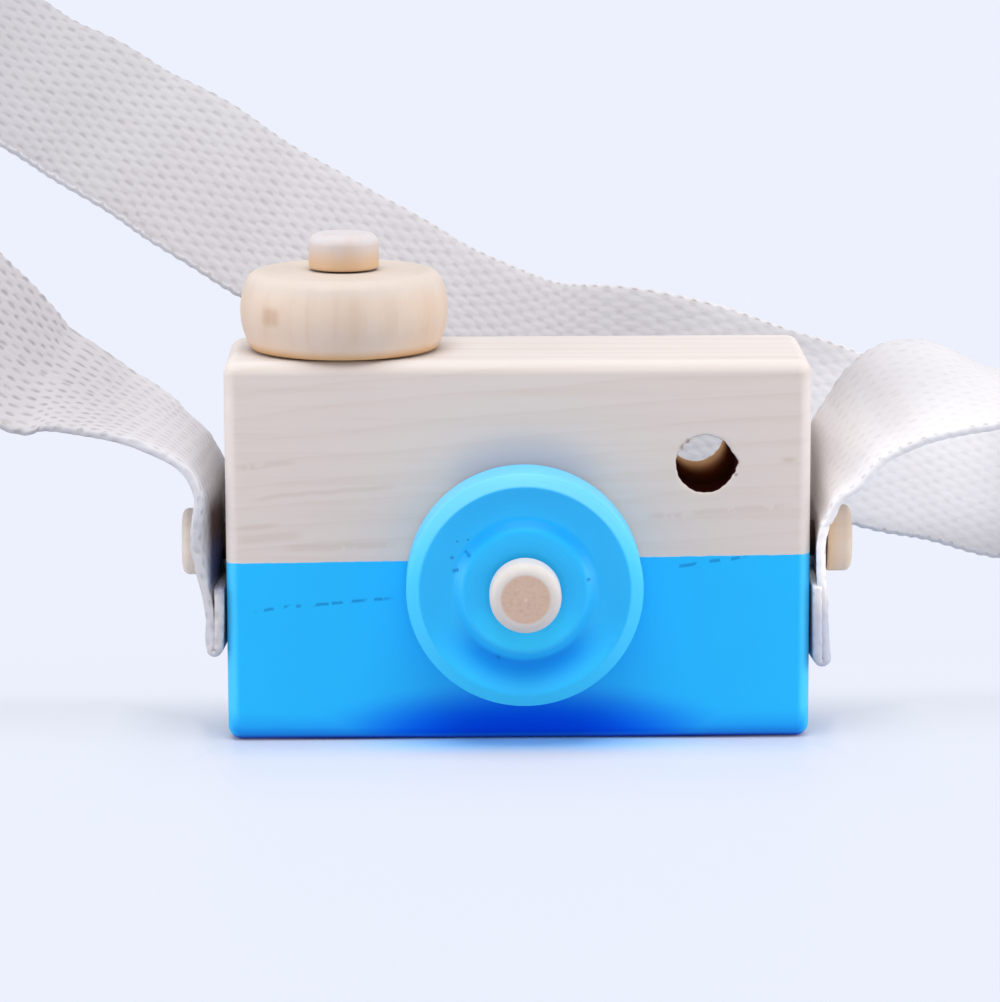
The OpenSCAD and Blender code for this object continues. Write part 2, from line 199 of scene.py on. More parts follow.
def dial_profile():
    """The dial wheel: a barrel arc for the side, with a rounding at each end tangent to barrel and face."""
    widest, barrel, top_r, bottom_r, thick, back = 17.0, 12.3, 2.6, 1.1, 12.8, 0.3
    mid = np.array([widest - barrel, thick / 2])
    top_h, bottom_h = thick - top_r, bottom_r
    top_x = mid[0] + np.sqrt((barrel - top_r) ** 2 - (top_h - mid[1]) ** 2)
    bottom_x = mid[0] + np.sqrt((barrel - bottom_r) ** 2 - (bottom_h - mid[1]) ** 2)
    top_a = np.degrees(np.arctan2(top_h - mid[1], top_x - mid[0]))
    bottom_a = np.degrees(np.arctan2(bottom_h - mid[1], bottom_x - mid[0]))
    return np.vstack([
        [[BORE_R, thick - 0.3], [BORE_R, 0.2], [BORE_R + 0.2, 0]],
        line((BORE_R + 0.6, 0), (bottom_x - 0.1, 0), 5),
        arc((bottom_x, bottom_h), bottom_r, -90, bottom_a, 10),
        arc(mid, barrel, bottom_a, top_a, 30)[1:-1],
        arc((top_x, top_h), top_r, top_a, 90, 16),
        line((top_x - 0.5, thick), (BORE_R + 0.4, thick), 8),
        [[BORE_R + 0.15, thick - 0.04], [BORE_R, thick - 0.3]],
    ]) + [0, back]


# The viewfinder's broken edge: chips by angle, width and depth, and rows by growth, depth and share of chips
FINDER_CHIPS = ((2, 13, 0.75), (-16, 5, 0.35), (128, 5, -0.55), (146, 5, -0.5))
FINDER_EDGE = ((0.10, 0.06, 0.9), (0.03, 0.2, 0.75), (0, 0.5, 0.4), (0, 1.0, 0.1), (0, 2.5, 0))


def pine_block(name):
    """The block: six gridded faces of a box, each point pulled to within the edge radius of the inner box.

    A point q of the box goes to c + r (q - c) / |q - c|, where c is q held inside the inner box. Round the
    viewfinder, each face's grid gives way to rows that blend a square into the hole's circle and the bore.
    """
    half = np.array([BODY_W, BODY_D, BODY_H]) / 2
    flat, middle = half - EDGE_R, np.array([0, 0, BODY_H / 2])
    turn = EDGE_R * np.tan(np.radians(np.linspace(0, 45, 9)))
    window, cells, coarse = 7.0, 24, 4
    around = np.linspace(-window, window, cells + 1)
    hole = np.array([FINDER_X, FINDER_Z - BODY_H / 2])

    def places(axis, inner):
        return np.unique(np.round(np.r_[-flat[axis] - turn, inner, flat[axis] + turn], 6))

    def spread(low, high):
        return np.linspace(low, high, max(int(abs(high - low) / coarse), 1) + 1)

    def windowed(axis, at):
        end = flat[axis]
        return places(axis, np.r_[spread(-end, at - window), at + around, spread(at + window, end)])

    def rounded(q):
        c = np.clip(q, -flat, flat)
        d = q - c
        return c + EDGE_R * d / np.linalg.norm(d, axis=-1, keepdims=True) + middle

    xs, ys, zs = windowed(0, hole[0]), places(1, spread(-flat[1], flat[1])), windowed(2, hole[1])
    points, quads, count = [], [], 0
    for axis, (us, vs), (iu, iv) in ((0, (ys, zs), (1, 2)), (1, (zs, xs), (2, 0)), (2, (xs, ys), (0, 1))):
        for side in (-1, 1):
            u, v = np.meshgrid(us, vs, indexing="ij")
            q = np.zeros(u.shape + (3,))
            q[..., axis], q[..., iu], q[..., iv] = side * half[axis], u, v
            cell = grid_quads(len(us), len(vs))
            if axis == 1:
                at = q.reshape(-1, 3)[cell].mean(1)
                outside = np.maximum(abs(at[:, 0] - hole[0]), abs(at[:, 2] - hole[1])) > window
                cell = cell[outside]
            points.append(rounded(q).reshape(-1, 3))
            quads.append((cell if side < 0 else cell[:, ::-1]) + count)
            count += q.size // 3

    # Square of points round the window, then on each face the rows of the blend, the broken edge and the bore
    run = around[:-1]
    square = np.vstack([
        np.column_stack([run, 0 * run - window]), np.column_stack([0 * run + window, run]),
        np.column_stack([-run, 0 * run + window]), np.column_stack([0 * run - window, -run])])
    a = np.arctan2(square[:, 1], square[:, 0])
    circle = np.column_stack([np.cos(a), np.sin(a)])
    torn = 0.05 * np.sin(9 * a) + 0.04 * np.sin(23 * a + 1)
    for at, width, depth in FINDER_CHIPS:
        torn = torn + depth * np.exp(-(((np.degrees(a) - at + 180) % 360 - 180) / width) ** 2)
    rows = []
    for side, wear in ((-1, torn), (1, 0.3 * torn[::-1])):
        rim = circle * (FINDER_R + 0.25 + wear)[:, None]
        face = [(square * (1 - share) + rim * share, 0.0) for share in np.linspace(0, 1, 7)]
        face += [(circle * (FINDER_R + grow + wear * chips)[:, None], depth)
                 for grow, depth, chips in FINDER_EDGE]
        ring = [np.column_stack([hole[0] + p[:, 0], 0 * a + side * (half[1] - depth), hole[1] + p[:, 1]])
                for p, depth in face]
        rows += ring if side < 0 else ring[::-1]
    strip = np.array(rows) + middle
    points.append(strip.reshape(-1, 3))
    quads.append(grid_quads(len(strip), len(a), ring=True) + count)
    return put_mesh(name, np.vstack(points), np.vstack(quads))


# The strap's route, repeated from the solids: a point, and the direction across the webbing there
LEFT_ROUTE = [
    ((-50.2, 0, 36), (0, 1, 0)), ((-50.6, 0, 40.5), (0.03, 1, -0.02)), ((-52.3, 0, 44.4), (0.06, 1, 0)),
    ((-55.1, 0.4, 47.1), (0.08, 1, 0.04)), ((-59.1, 0.9, 49.5), (0.1, 1, 0.08)),
    ((-63.9, 2.2, 51.6), (0.14, 0.98, 0.14)), ((-68.3, 3.4, 53.2), (0.18, 0.96, 0.2)),
    ((-74.5, 4.6, 55.8), (0.24, 0.91, 0.33)), ((-80, 4.5, 58.4), (0.28, 0.83, 0.48)),
    ((-88, 3.3, 64.8), (0.32, 0.7, 0.64)), ((-95, 2.4, 70.5), (0.33, 0.65, 0.69)),
    ((-103, 2, 75.5), (0.2, 0.75, 0.6)), ((-112, 2, 77), (0, 0.9, 0.4)),
    ((-120.5, 2, 73), (-0.15, 0.95, 0.2)), ((-127, 2, 63), (-0.15, 1, 0.1)), ((-131, 2, 49), (-0.1, 1, 0)),
    ((-132, 2, 34), (0, 1, 0)), ((-132.1, 2, 18), (0, 1, 0)),
]
RIGHT_ROUTE = [
    ((-134.4, 2, 18), (0, 1, 0)), ((-135, 2, 33), (0, 1, 0)), ((-137, 4, 50), (-0.15, 1, -0.15)),
    ((-138, 8, 68), (-0.35, 0.9, -0.25)), ((-136, 14, 86), (-0.6, 0.75, -0.15)),
    ((-130, 22, 102), (-0.7, 0.65, 0.15)), ((-119, 30, 113), (-0.5, 0.65, 0.5)),
    ((-105, 36, 115.5), (-0.1, 0.65, 0.75)), ((-93, 39, 110.5), (0.25, 0.65, 0.7)),
    ((-82, 39.5, 103.5), (0.35, 0.65, 0.65)), ((-74, 39.5, 99), (0.4, 0.6, 0.7)),
    ((-66, 39, 94), (0.4, 0.6, 0.7)), ((-58, 38.5, 89.5), (0.4, 0.55, 0.75)),
    ((-49.5, 38, 84), (0.4, 0.55, 0.75)), ((-41, 38.5, 78.5), (0.4, 0.55, 0.75)),
    ((-28, 39, 70.5), (0.35, 0.5, 0.8)), ((-12, 40, 60.5), (0.3, 0.45, 0.85)),
    ((5, 41, 53.5), (0.15, 0.4, 0.9)), ((24, 42, 51), (0.1, 0.3, 0.95)),
    ((43, 43, 45.5), (0.1, 0.25, 0.95)), ((60, 44, 39.5), (0.1, 0.3, 0.95)),
    ((73, 47, 35.5), (0.05, 0.45, 0.9)), ((86, 47.5, 32.5), (0.1, 0.45, 0.9)),
    ((97, 46, 31), (0.1, 0.45, 0.9)), ((106, 40, 31.5), (0, 0.45, 0.9)),
    ((110.5, 31, 35.5), (-0.1, 0.5, 0.85)), ((110.5, 21, 41), (-0.2, 0.65, 0.7)),
    ((105.5, 13, 46.5), (-0.15, 0.8, 0.5)), ((97, 8, 50.5), (-0.05, 0.95, 0.25)),
    ((89, 5.5, 52), (0.05, 1, 0.1)), ((82.5, 4, 53.5), (0, 1, 0.05)), ((77, 2.5, 54.8), (0, 1, 0.2)),
    ((71.5, 1, 55.6), (-0.05, 0.95, 0.35)), ((66.5, 0, 55.3), (-0.1, 0.9, 0.4)),
    ((62.5, -0.5, 54), (-0.15, 0.9, 0.4)), ((58.8, -0.5, 51.5), (-0.15, 0.9, 0.35)),
    ((55.5, -0.5, 48.3), (-0.15, 0.95, 0.25)), ((52.8, -0.5, 44.7), (-0.1, 0.95, 0.25)),
    ((51, -0.3, 41), (0, 1, 0.2)), ((50.2, 0, 36), (0, 1, 0)),
]
ROLL_X, ROLL_Y, ROLL_Z, ROLL_CORE, ROLL_STEP, ROLL_LEAD = -147.0, 2.0, 14.7, 8.0, 2.3, 3.3

# How far the strap's front edge, middle and back edge stand off the line at each peg: height, distance out
LEFT_FRONT = (
    (15, -0.8), (16.5, -0.8), (18.6, -0.5), (22, 0.3), (25, 1.0), (28, 1.7), (30.3, 2.1), (32.7, 2.5),
    (35.2, 2.4), (37.7, 1.8), (40, 1.0), (44, 0.3), (48, 0))
LEFT_BACK = ((15, 0), (20, -0.3), (26, -0.9), (31, -1.3), (36, -1.4), (40, -1.2), (43, -0.5), (47, 0))
LEFT_MIDDLE = ((22, 0), (26, -0.5), (30, -0.9), (36, -0.9), (40, -0.6), (44, 0))
RIGHT_FRONT = (
    (13, -0.4), (16, -0.6), (20, -0.5), (23, -0.4), (27, -1.0), (31.5, -1.1), (33, -0.9), (35.7, -0.2),
    (38, 0.6), (41, 1.0), (44, 0.8), (48, 0.5), (52, 0))
RIGHT_BACK = ((13, 0), (20, -0.3), (26, -0.8), (31, -1.0), (36, -0.9), (40, -0.5), (44, 0))
RIGHT_MIDDLE = ((22, 0), (26, -0.2), (36, -0.3), (44, 0))


def smooth_curve(rows, steps=24):
    """The cubic curve through the rows, parallel at each row to the chord between its neighbours."""
    p = np.asarray(rows, float)
    i = np.arange(len(p) - 1)
    a, b, c, d = (p[k][:, None] for k in (np.maximum(i - 1, 0), i, i + 1, np.minimum(i + 2, len(p) - 1)))
    t = (np.arange(steps) / steps)[None, :, None]
    square, cube = 2 * a - 5 * b + 4 * c - d, 3 * b - a - 3 * c + d
    curve = (2 * b + (c - a) * t + square * t ** 2 + cube * t ** 3) / 2
    return np.vstack([curve.reshape(-1, p.shape[1]), p[-1:]])


def run_of(route):
    """A free stretch as points with their directions across."""
    at, across = (np.array(rows, float) for rows in zip(*route))
    return np.hstack([smooth_curve(at), smooth_curve(unit(across))])


def straight_across(x, y, z):
    """Points in a plane across Y, with the webbing's width along Y."""
    return np.column_stack(np.broadcast_arrays(x, y, z, 0.0, 1.0, 0.0))


def end_of(side, drop):
    """A folded end: straight down from its tucked tail, round a half circle and up past the peg."""
    inner, turn, outer, tail, bend, top = 0.9, 1.2, 2.7, -5.2, -5.65, 5.5
    fold = turn + STRAP_T / 2 - drop
    flat = np.vstack([
        line((inner, tail), (inner, fold), 12)[:-1],
        arc((inner + turn, fold), turn, 180, 360, 24),
        line((inner + 2 * turn, fold), (outer, bend), 16)[1:],
        line((outer, bend), (outer, top), 16)[1:],
    ])
    return straight_across(side * (BODY_W / 2 + flat[:, 0]), 0.0, STRAP_PEG_Z + flat[:, 1])


def roll_of():
    """The rolled spare length, from the outer arm inwards, through the bight and out along the inner arm.

    An arm's radius grows by one step of the layers in each half turn; the bight is two half circles.
    """
    def arm(half_turns, start):
        turn = np.linspace(0, half_turns, half_turns * 48 + 1)
        a = np.radians(start + 180 * turn)
        return (ROLL_CORE + ROLL_STEP * turn)[:, None] * np.column_stack([np.cos(a), np.sin(a)])

    inner, outer, h = arm(2, 0), arm(3, 180), ROLL_CORE / 2
    flat = np.vstack([
        [[inner[-1, 0], ROLL_LEAD]], inner[::-1],
        arc((h, 0), h, 360, 180, 32)[1:-1], arc((-h, 0), h, 0, 180, 32)[:-1],
        outer, [[outer[-1, 0], ROLL_LEAD]],
    ])[::-1]
    return straight_across(ROLL_X + flat[:, 0], ROLL_Y, ROLL_Z + flat[:, 1])


def strap_line(step=0.55):
    """The strap's middle line at even steps, with the directions across and out, and the run along it."""
    left, right = end_of(-1, 17.1), end_of(1, 19.2)[::-1]
    rows = np.vstack([left, run_of(LEFT_ROUTE)[1:], roll_of()[1:], run_of(RIGHT_ROUTE)[1:], right[1:]])
    s = np.r_[0, np.cumsum(np.linalg.norm(np.diff(rows[:, :3], axis=0), axis=1))]
    along = np.linspace(0, s[-1], int(s[-1] / step) + 1)
    rows = np.column_stack([np.interp(along, s, rows[:, k]) for k in range(6)])
    at = rows[:, :3]
    way = unit(np.gradient(at, axis=0))
    across = unit(rows[:, 3:] - (rows[:, 3:] * way).sum(1, keepdims=True) * way)
    return at, across, np.cross(way, across), along


def strap_mesh(name, at, across, out, along):
    """The webbing: a flat oval section carried along the line, cupped at the pegs and with wavy selvedges.

    A point lies at the line plus a times the direction across plus n times the direction out. Over the width
    n is half the thickness, and at each selvedge a and n follow half an ellipse. Both edges swell by a cosine
    of the weave's picks and by slow sines. The map is the run along the strap and the way round the section.
    """
    half, rim, pick = STRAP_W / 2, 0.55, 2.15
    flat, turn = half - rim, np.radians(np.linspace(-90, 90, 9))[1:-1]
    bottom, top = np.linspace(0, flat, 9), np.linspace(-flat, flat, 17)
    a = np.r_[-bottom, -flat - rim * np.cos(turn), top, flat + rim * np.cos(turn), bottom[::-1]]
    n = STRAP_T / 2 * np.r_[0 * bottom - 1, np.sin(turn), 0 * top + 1, np.sin(turn[::-1]), 0 * bottom - 1]
    girth = np.r_[0, np.cumsum(np.hypot(np.diff(a), np.diff(n)))]
    m, rings = len(a), len(along)

    u = along[:, None]

    def uneven(phase, *sines):
        slow = sum(size * np.sin(u / length + shift) for size, length, shift in sines)
        return 0.12 * np.cos(2 * np.pi * u / pick + phase) + slow

    swell = uneven(0, (0.14, 7.3, 0), (0.12, 3.1, 1), (0.2, 19, 0))
    other = uneven(np.pi, (0.14, 6.1, 2), (0.12, 2.7, 0), (0.2, 23, 1))
    wide = a[None] + np.where(a > 0, swell, -other) * np.clip((abs(a) - 9) / 6, 0, 1)[None] ** 2

    # Edges cupped at the pegs by height, the folds' pinch, the free runs' curl and the right arch's rise
    rest, pinch, curl = along[-1] - along, 0.33, 0.2
    by_peg = [np.interp(run, [0, 8, 22, 48, 62], [0, 0.2, 1, 1, 0]) for run in (along, rest)]
    front, mid, back = (
        sum(share * np.interp(at[:, 2], *np.array(table).T) for share, table in zip(by_peg, tables))[:, None]
        for tables in ((LEFT_FRONT, RIGHT_FRONT), (LEFT_MIDDLE, RIGHT_MIDDLE), (LEFT_BACK, RIGHT_BACK)))
    fore, aft = (np.clip((side * a - 4) / 11, 0, 1)[None] ** 1.3 for side in (-1, 1))
    lift = front * fore + mid * (1 - fore - aft) + back * aft
    ends = np.minimum(along, rest)[:, None]
    lift = lift - pinch * np.interp(ends, [22, 30], [1, 0]) * (fore + aft)
    lift = lift + curl * np.interp(ends, [70, 110], [0, 1]) * np.sin(u / 31) * (a / half)[None] ** 2
    arch = np.interp(at[:, 0], [72, 77, 82.5, 89, 97, 105], [0, 0.2, 0.6, 0.6, 0.3, 0]) * (at[:, 1] < 20)
    lift = lift - arch[:, None] * aft

    points = at[:, None] + wide[..., None] * across[:, None] + (n[None] + lift)[..., None] * out[:, None]
    uv = np.stack(np.broadcast_arrays(u * MM, (girth - girth[m // 2])[None] * MM), -1)
    k = np.arange(m // 4)
    caps = np.vstack([np.stack([c - k, c - k - 1, c + k + 1, c + k], -1) for c in (m // 4, m - 1 - m // 4)])
    quads = np.vstack([grid_quads(rings, m), caps, caps[:, ::-1] + (rings - 1) * m])
    return put_mesh(name, points.reshape(-1, 3), quads[:, ::-1], uv.reshape(-1, 2))


def tie_mesh(name):
    """The tie: an oval section of tape carried round a rounded oblong, through the roll and over it."""
    low, high, r, half_w, half_t = 7.0, 12.9, 1.6, 2.5, 0.38
    reach = STRAP_W / 2 + 0.7 - r
    near, far = ROLL_Y - reach, ROLL_Y + reach
    loop = np.vstack([
        arc((far, low + r), r, -90, 0, 10), arc((far, high - r), r, 0, 90, 10),
        line((far, high), (near, high), 24)[1:-1],
        arc((near, high - r), r, 90, 180, 10), arc((near, low + r), r, 180, 270, 10),
        line((near, low), (far, low), 24)[1:-1],
    ])
    way = unit(np.roll(loop, -1, axis=0) - np.roll(loop, 1, axis=0))
    out = np.column_stack([way[:, 1], -way[:, 0]])
    t = np.radians(np.arange(0, 360, 15))
    a, n = half_w * np.sign(np.cos(t)) * abs(np.cos(t)) ** 0.35, half_t * np.sin(t)
    x = np.broadcast_to(ROLL_X + a, (len(loop), len(t)))
    yz = loop[:, None] + n[None, :, None] * out[:, None]
    points = np.stack([x, yz[..., 0], ROLL_Z + yz[..., 1]], -1).reshape(-1, 3)
    run = np.r_[0, np.cumsum(np.linalg.norm(np.diff(loop, axis=0), axis=1))]
    uv = np.stack(np.broadcast_arrays(run[:, None] * MM, a[None] * MM), -1).reshape(-1, 2)
    ring = grid_quads(len(loop) + 1, len(t), ring=True) % (len(loop) * len(t))
    return put_mesh(name, points, ring, uv)


# Shader helpers

class Value:
    """A value in a shader tree. Its sums, products and steps make the nodes that work them out."""

    def __init__(self, tree, socket):
        self.tree, self.socket = tree, socket

    def do(self, operation, *others):
        """The result of one Math node, with this value first."""
        return add(self.tree, "ShaderNodeMath", dict(enumerate((self, *others))), operation=operation)

    def __add__(self, other):
        return self.do("ADD", other)

    def __sub__(self, other):
        return self.do("SUBTRACT", other)

    def __mul__(self, other):
        return self.do("MULTIPLY", other)

    def __truediv__(self, other):
        return self.do("DIVIDE", other)

    def __abs__(self):
        return self.do("ABSOLUTE")

    def ramp(self, low, high, start=0.0, stop=1.0):
        """A smooth step, from start at low to stop at high."""
        values = {"Value": self, "From Min": low, "From Max": high, "To Min": start, "To Max": stop}
        return add(self.tree, "ShaderNodeMapRange", values, interpolation_type="SMOOTHSTEP")


def feed(node, inputs):
    """Gives a node's inputs their links and their constants."""
    for key, value in inputs.items():
        if isinstance(value, Value):
            value.tree.links.new(value.socket, node.inputs[key])
        else:
            node.inputs[key].default_value = value


def make(tree, kind, inputs, **settings):
    """A node with its settings and its inputs."""
    node = tree.nodes.new(kind)
    for key, value in settings.items():
        setattr(node, key, value)
    feed(node, inputs)
    return node


def add(tree, kind, inputs, output=0, **settings):
    """One result of a new node."""
    return Value(tree, make(tree, kind, inputs, **settings).outputs[output])


def parts(vector):
    """The three coordinates of a vector."""
    node = make(vector.tree, "ShaderNodeSeparateXYZ", {0: vector})
    return [Value(vector.tree, socket) for socket in node.outputs]


def largest(first, *others):
    """The largest of several values."""
    for other in others:
        first = first.do("MAXIMUM", other)
    return first


def distance(p, q):
    """The root of the sum of two coordinates' squares."""
    return (p * p + q * q).do("SQRT")


def tint(share, under, over, blend="MIX"):
    """Two colours mixed by a share that changes over the surface."""
    under, over = (c if isinstance(c, Value) else (*c, 1) for c in (under, over))
    colours = {0: share, 6: under, 7: over}
    return add(share.tree, "ShaderNodeMix", colours, output=2, data_type="RGBA", blend_type=blend)


def coats(colour, *layers):
    """A colour under layers, each a share and a colour, and "MULTIPLY" where the layer only darkens."""
    for share, over, *blend in layers:
        colour = tint(share, colour, over, *blend)
    return colour


def stretched(vector, scale, location=(0, 0, 0), rotation=(0, 0, 0)):
    """Coordinates moved, turned and scaled along each axis."""
    values = {"Vector": vector, "Scale": scale, "Location": location, "Rotation": rotation}
    return add(vector.tree, "ShaderNodeMapping", values)


def centred(vector, *centre):
    """Coordinates from a centre given in millimetres."""
    return stretched(vector, (1, 1, 1), location=tuple(-c * MM for c in centre))


def noise(vector, scale, detail=2.0, roughness=0.5):
    """Soft noise from 0 to 1. Its scale is one number, or three along the axes."""
    if isinstance(scale, tuple):
        vector, scale = stretched(vector, scale), 1.0
    values = {"Vector": vector, "Scale": scale, "Detail": detail, "Roughness": roughness}
    return add(vector.tree, "ShaderNodeTexNoise", values)


def bump(height, reach):
    """A surface raised by the height times the reach, in metres."""
    return add(height.tree, "ShaderNodeBump", {"Height": height, "Distance": reach, "Strength": 1.0})


def group(formula, **inputs):
    """A node group of a formula's named results. An input has a starting number, or None for a vector."""
    tree = bpy.data.node_groups.new(formula.__name__, "ShaderNodeTree")
    for label, value in inputs.items():
        kind = "NodeSocketVector" if value is None else "NodeSocketFloat"
        socket = tree.interface.new_socket(label, in_out="INPUT", socket_type=kind)
        if value is not None:
            socket.default_value = value
    given = tree.nodes.new("NodeGroupInput").outputs
    results = formula(*(Value(tree, given[label]) for label in inputs))
    for label in results:
        tree.interface.new_socket(label, in_out="OUTPUT", socket_type="NodeSocketFloat")
    feed(tree.nodes.new("NodeGroupOutput"), results)
    return tree


def place(effect, **inputs):
    """The named results of a group, placed in the tree that its vector belongs to."""
    tree = inputs["vector"].tree
    node = make(tree, "ShaderNodeGroup", inputs, node_tree=effect)
    return {socket.name: Value(tree, socket) for socket in node.outputs}


def growth_rings(vector, spacing, pith_y, pith_z, rise):
    """Sawn softwood: layers round a far pith along X, thin dark late wood, and fine fibres along X."""
    x, y, z = parts(vector)
    wander = noise(vector, (9, 45, 45), 3.0) - 0.5
    far = distance(y - pith_y, z - x * rise - pith_z) + wander * 0.006
    turn = (far / spacing).do("FRACT")
    drawn_out = stretched(vector, (22, 700, 700), rotation=(0, 0.05, 0))
    return {"late": turn.do("POWER", 4.0) * turn.ramp(1.0, 0.93), "fibre": noise(drawn_out, 1.0, 3.0, 0.6),
            "cloud": noise(vector, (14, 60, 60))}


def pore_streak(vector, height, rise, from_x, to_x, width, broken):
    """A line of open pores: a thin slanted layer between two ends, cut into dashes by noise."""
    x, _, z = parts(vector)
    sway = (noise(vector, (120, 20, 20)) - 0.5) * 0.0012
    thin = (abs(z - (height + rise * x) + sway) / width).ramp(1.0, 0.25)
    dash = (noise(vector, (520, 60, 300)) - broken).ramp(-0.03, 0.05)
    ends = (x - from_x).ramp(0.0, 0.003) * (to_x - x).ramp(0.0, 0.003)
    return {"mask": thin * dash * ends}


def pit(vector, at_x, at_z, radius, soft):
    """A small ragged hollow: a blot within a radius of a point of the front, with a hard or a soft edge."""
    x, _, z = parts(vector)
    ragged = (noise(vector, 2600.0) - 0.5) * 0.9 + distance(x - at_x, z - at_z) / radius
    return {"mask": ragged.ramp(soft * 0.5 + 1.1, soft * -0.7 + 0.6)}


def plain_weave(vector, yarn, pitch):
    """Plain weave of soft yarns: floats and dips change places as a cosine along times a cosine across.

    The yarns are faintly round between their neighbours. Noise bends and twists them and deepens some dips.
    """
    tree, kind = vector.tree, "ShaderNodeVectorMath"
    bent = add(tree, "ShaderNodeTexNoise", {"Vector": vector, "Scale": 260.0, "Detail": 2.0}, output=1)
    bent = add(tree, kind, {0: bent, 1: (0.5, 0.5, 0.5)}, operation="SUBTRACT")
    bent = add(tree, kind, {0: bent, 1: (0.0016, 0.0009, 0)}, operation="MULTIPLY")
    run, side, _ = parts(add(tree, kind, {0: vector, 1: bent}))
    lane = side / yarn * np.pi
    over = (run / pitch * (2 * np.pi)).do("COSINE") * lane.do("COSINE")
    dip = over.ramp(-0.05, -0.95) * noise(vector, 520.0).ramp(0.3, 0.7, 0.45, 1.25)
    twist = noise(stretched(vector, (2600, 5200, 1), rotation=(0, 0, 0.6)), 1.0)
    height = (lane * 2.0).do("COSINE") * 0.1 + over * 0.3 - dip * 0.45 + twist * 0.25
    return {"height": height, "dip": dip, "twist": twist}


def brushed_paint(vector):
    """Flat paint over wood: a faint cloud of tone and a fine stipple."""
    return {"cloud": noise(vector, (40, 90, 90), 3.0), "stipple": noise(vector, 1500.0, 3.0, 0.6)}


RINGS = group(growth_rings, vector=None, spacing=0.003, pith_y=0.05, pith_z=-0.04, rise=0.08)
STREAK = group(pore_streak, vector=None, height=0.02, rise=0.09, from_x=-0.04, to_x=0.0, width=0.0002,
               broken=0.5)
PIT = group(pit, vector=None, at_x=0.0, at_z=0.0, radius=0.0003, soft=0.0)
WEAVE = group(plain_weave, vector=None, yarn=0.00105, pitch=0.0043)
PAINT = group(brushed_paint, vector=None)


# Finishes

BLUE, BLUE_DEEP, BLUE_PORE = (0.011, 0.45, 0.87), (0.008, 0.41, 0.845), (0.0, 0.19, 0.5)
BLUE_PAINTED_SHADOW, BLUE_FOOT_SHADE, BLUE_EDGE_HIGHLIGHT = (0.0, 0.045, 0.7), (0.0, 0.035, 0.55), (0.06, 0.56, 0.95)
BLUE_RIM_LIT, BLUE_RIM_TOP_HIGHLIGHT, BLUE_CHANNEL_SHADE = (0.035, 0.51, 0.875), (0.115, 0.52, 0.86), (0.0, 0.2, 0.78)
BLUE_SHOULDER_SHADE, BLUE_HOLLOW_LIT = (0.004, 0.33, 0.8), (0.02, 0.6, 0.99)
PINE, PINE_LATE, PINE_PORE = (0.62, 0.55, 0.512), (0.51, 0.415, 0.35), (0.36, 0.25, 0.18)
PINE_TOP_LIT, PINE_EDGE_HIGHLIGHT, PINE_LENS_HALO_SHADE = (0.63, 0.585, 0.57), (0.74, 0.685, 0.655), (0.36, 0.36, 0.43)
PINE_SMEAR, PINE_TORN_AND_SHADED = (0.46, 0.31, 0.21), (0.2, 0.13, 0.1)
BORE_FRONT_SHADE, BORE_MIDDLE, BORE_BACK_LIT = (0.022, 0.004, 0.003), (0.27, 0.07, 0.02), (0.92, 0.64, 0.38)
DIAL_WOOD, DIAL_BAND, DIAL_STREAK = (0.615, 0.492, 0.402), (0.585, 0.45, 0.352), (0.52, 0.375, 0.27)
DIAL_TOP_SHEEN, DIAL_LOW_BOUNCE, DIAL_FOOT_BOUNCE_SHADE = (0.56, 0.5, 0.455), (0.72, 0.55, 0.42), (0.6, 0.33, 0.12)
DIAL_KNOT, SHANK_SHADE = (0.42, 0.26, 0.16), (0.055, 0.022, 0.012)
END_GRAIN, END_PORE, END_DOT = (0.545, 0.385, 0.3), (0.43, 0.285, 0.21), (0.62, 0.47, 0.39)
COTTON, COTTON_SHADE_LEFT = (0.625, 0.607, 0.628), (0.455, 0.435, 0.46)
COTTON_RIGHT_LIT, COTTON_NEAR_LIT, COTTON_LEFT_LIT = (0.745, 0.725, 0.745), (0.97, 0.93, 0.92), (0.665, 0.66, 0.7)
COTTON_LOWER_EDGE_LIT, COTTON_SELVEDGE_SHADE = (0.8, 0.79, 0.82), (0.38, 0.33, 0.3)
GAP_SHADE_LOW, GAP_SHADE_HIGH = (0.02, 0.022, 0.13), (0.085, 0.026, 0.01)
TAPE, TAPE_SHADE_LEFT = (0.66, 0.64, 0.62), (0.62, 0.6, 0.58)

# Lines along the grain: height at the middle, rise, two ends, half width, and how broken they are
PAINT_PORES = (
    (0.026, 0.1, -0.044, -0.0195, 0.0004, 0.48), (0.0262, 0.105, 0.024, 0.038, 0.00042, 0.47))
WOOD_STREAKS = (
    (0.0478, 0.05, -0.0465, -0.035, 0.0007, 0.4), (0.044, 0.09, -0.044, -0.019, 0.0006, 0.32),
    (0.0378, 0.05, -0.047, -0.038, 0.0007, 0.36), (0.0358, 0.05, -0.047, -0.034, 0.0011, 0.3),
    (0.0338, 0.05, -0.039, -0.019, 0.0008, 0.36), (0.0355, 0.07, 0.02, 0.046, 0.0007, 0.42))
# Torn fibres on the viewfinder's rim, and pits in the lens wheel's face: place across, height, radius
FINDER_TEARS = (
    (0.0353, 0.0459, 0.0005), (0.0353, 0.0438, 0.00028), (0.0266, 0.0484, 0.0005), (0.0275, 0.0493, 0.0005))
LENS_PITS = (
    (-0.0108, 0.0321, 0.00032), (-0.0081, 0.0327, 0.00036), (-0.0085, 0.0331, 0.00026),
    (-0.0104, 0.03, 0.00034), (-0.01, 0.0302, 0.00026), (-0.0099, 0.0348, 0.00016),
    (-0.0082, 0.035, 0.00018), (0.0111, 0.0286, 0.00032), (-0.0034, 0.0158, 0.00028))


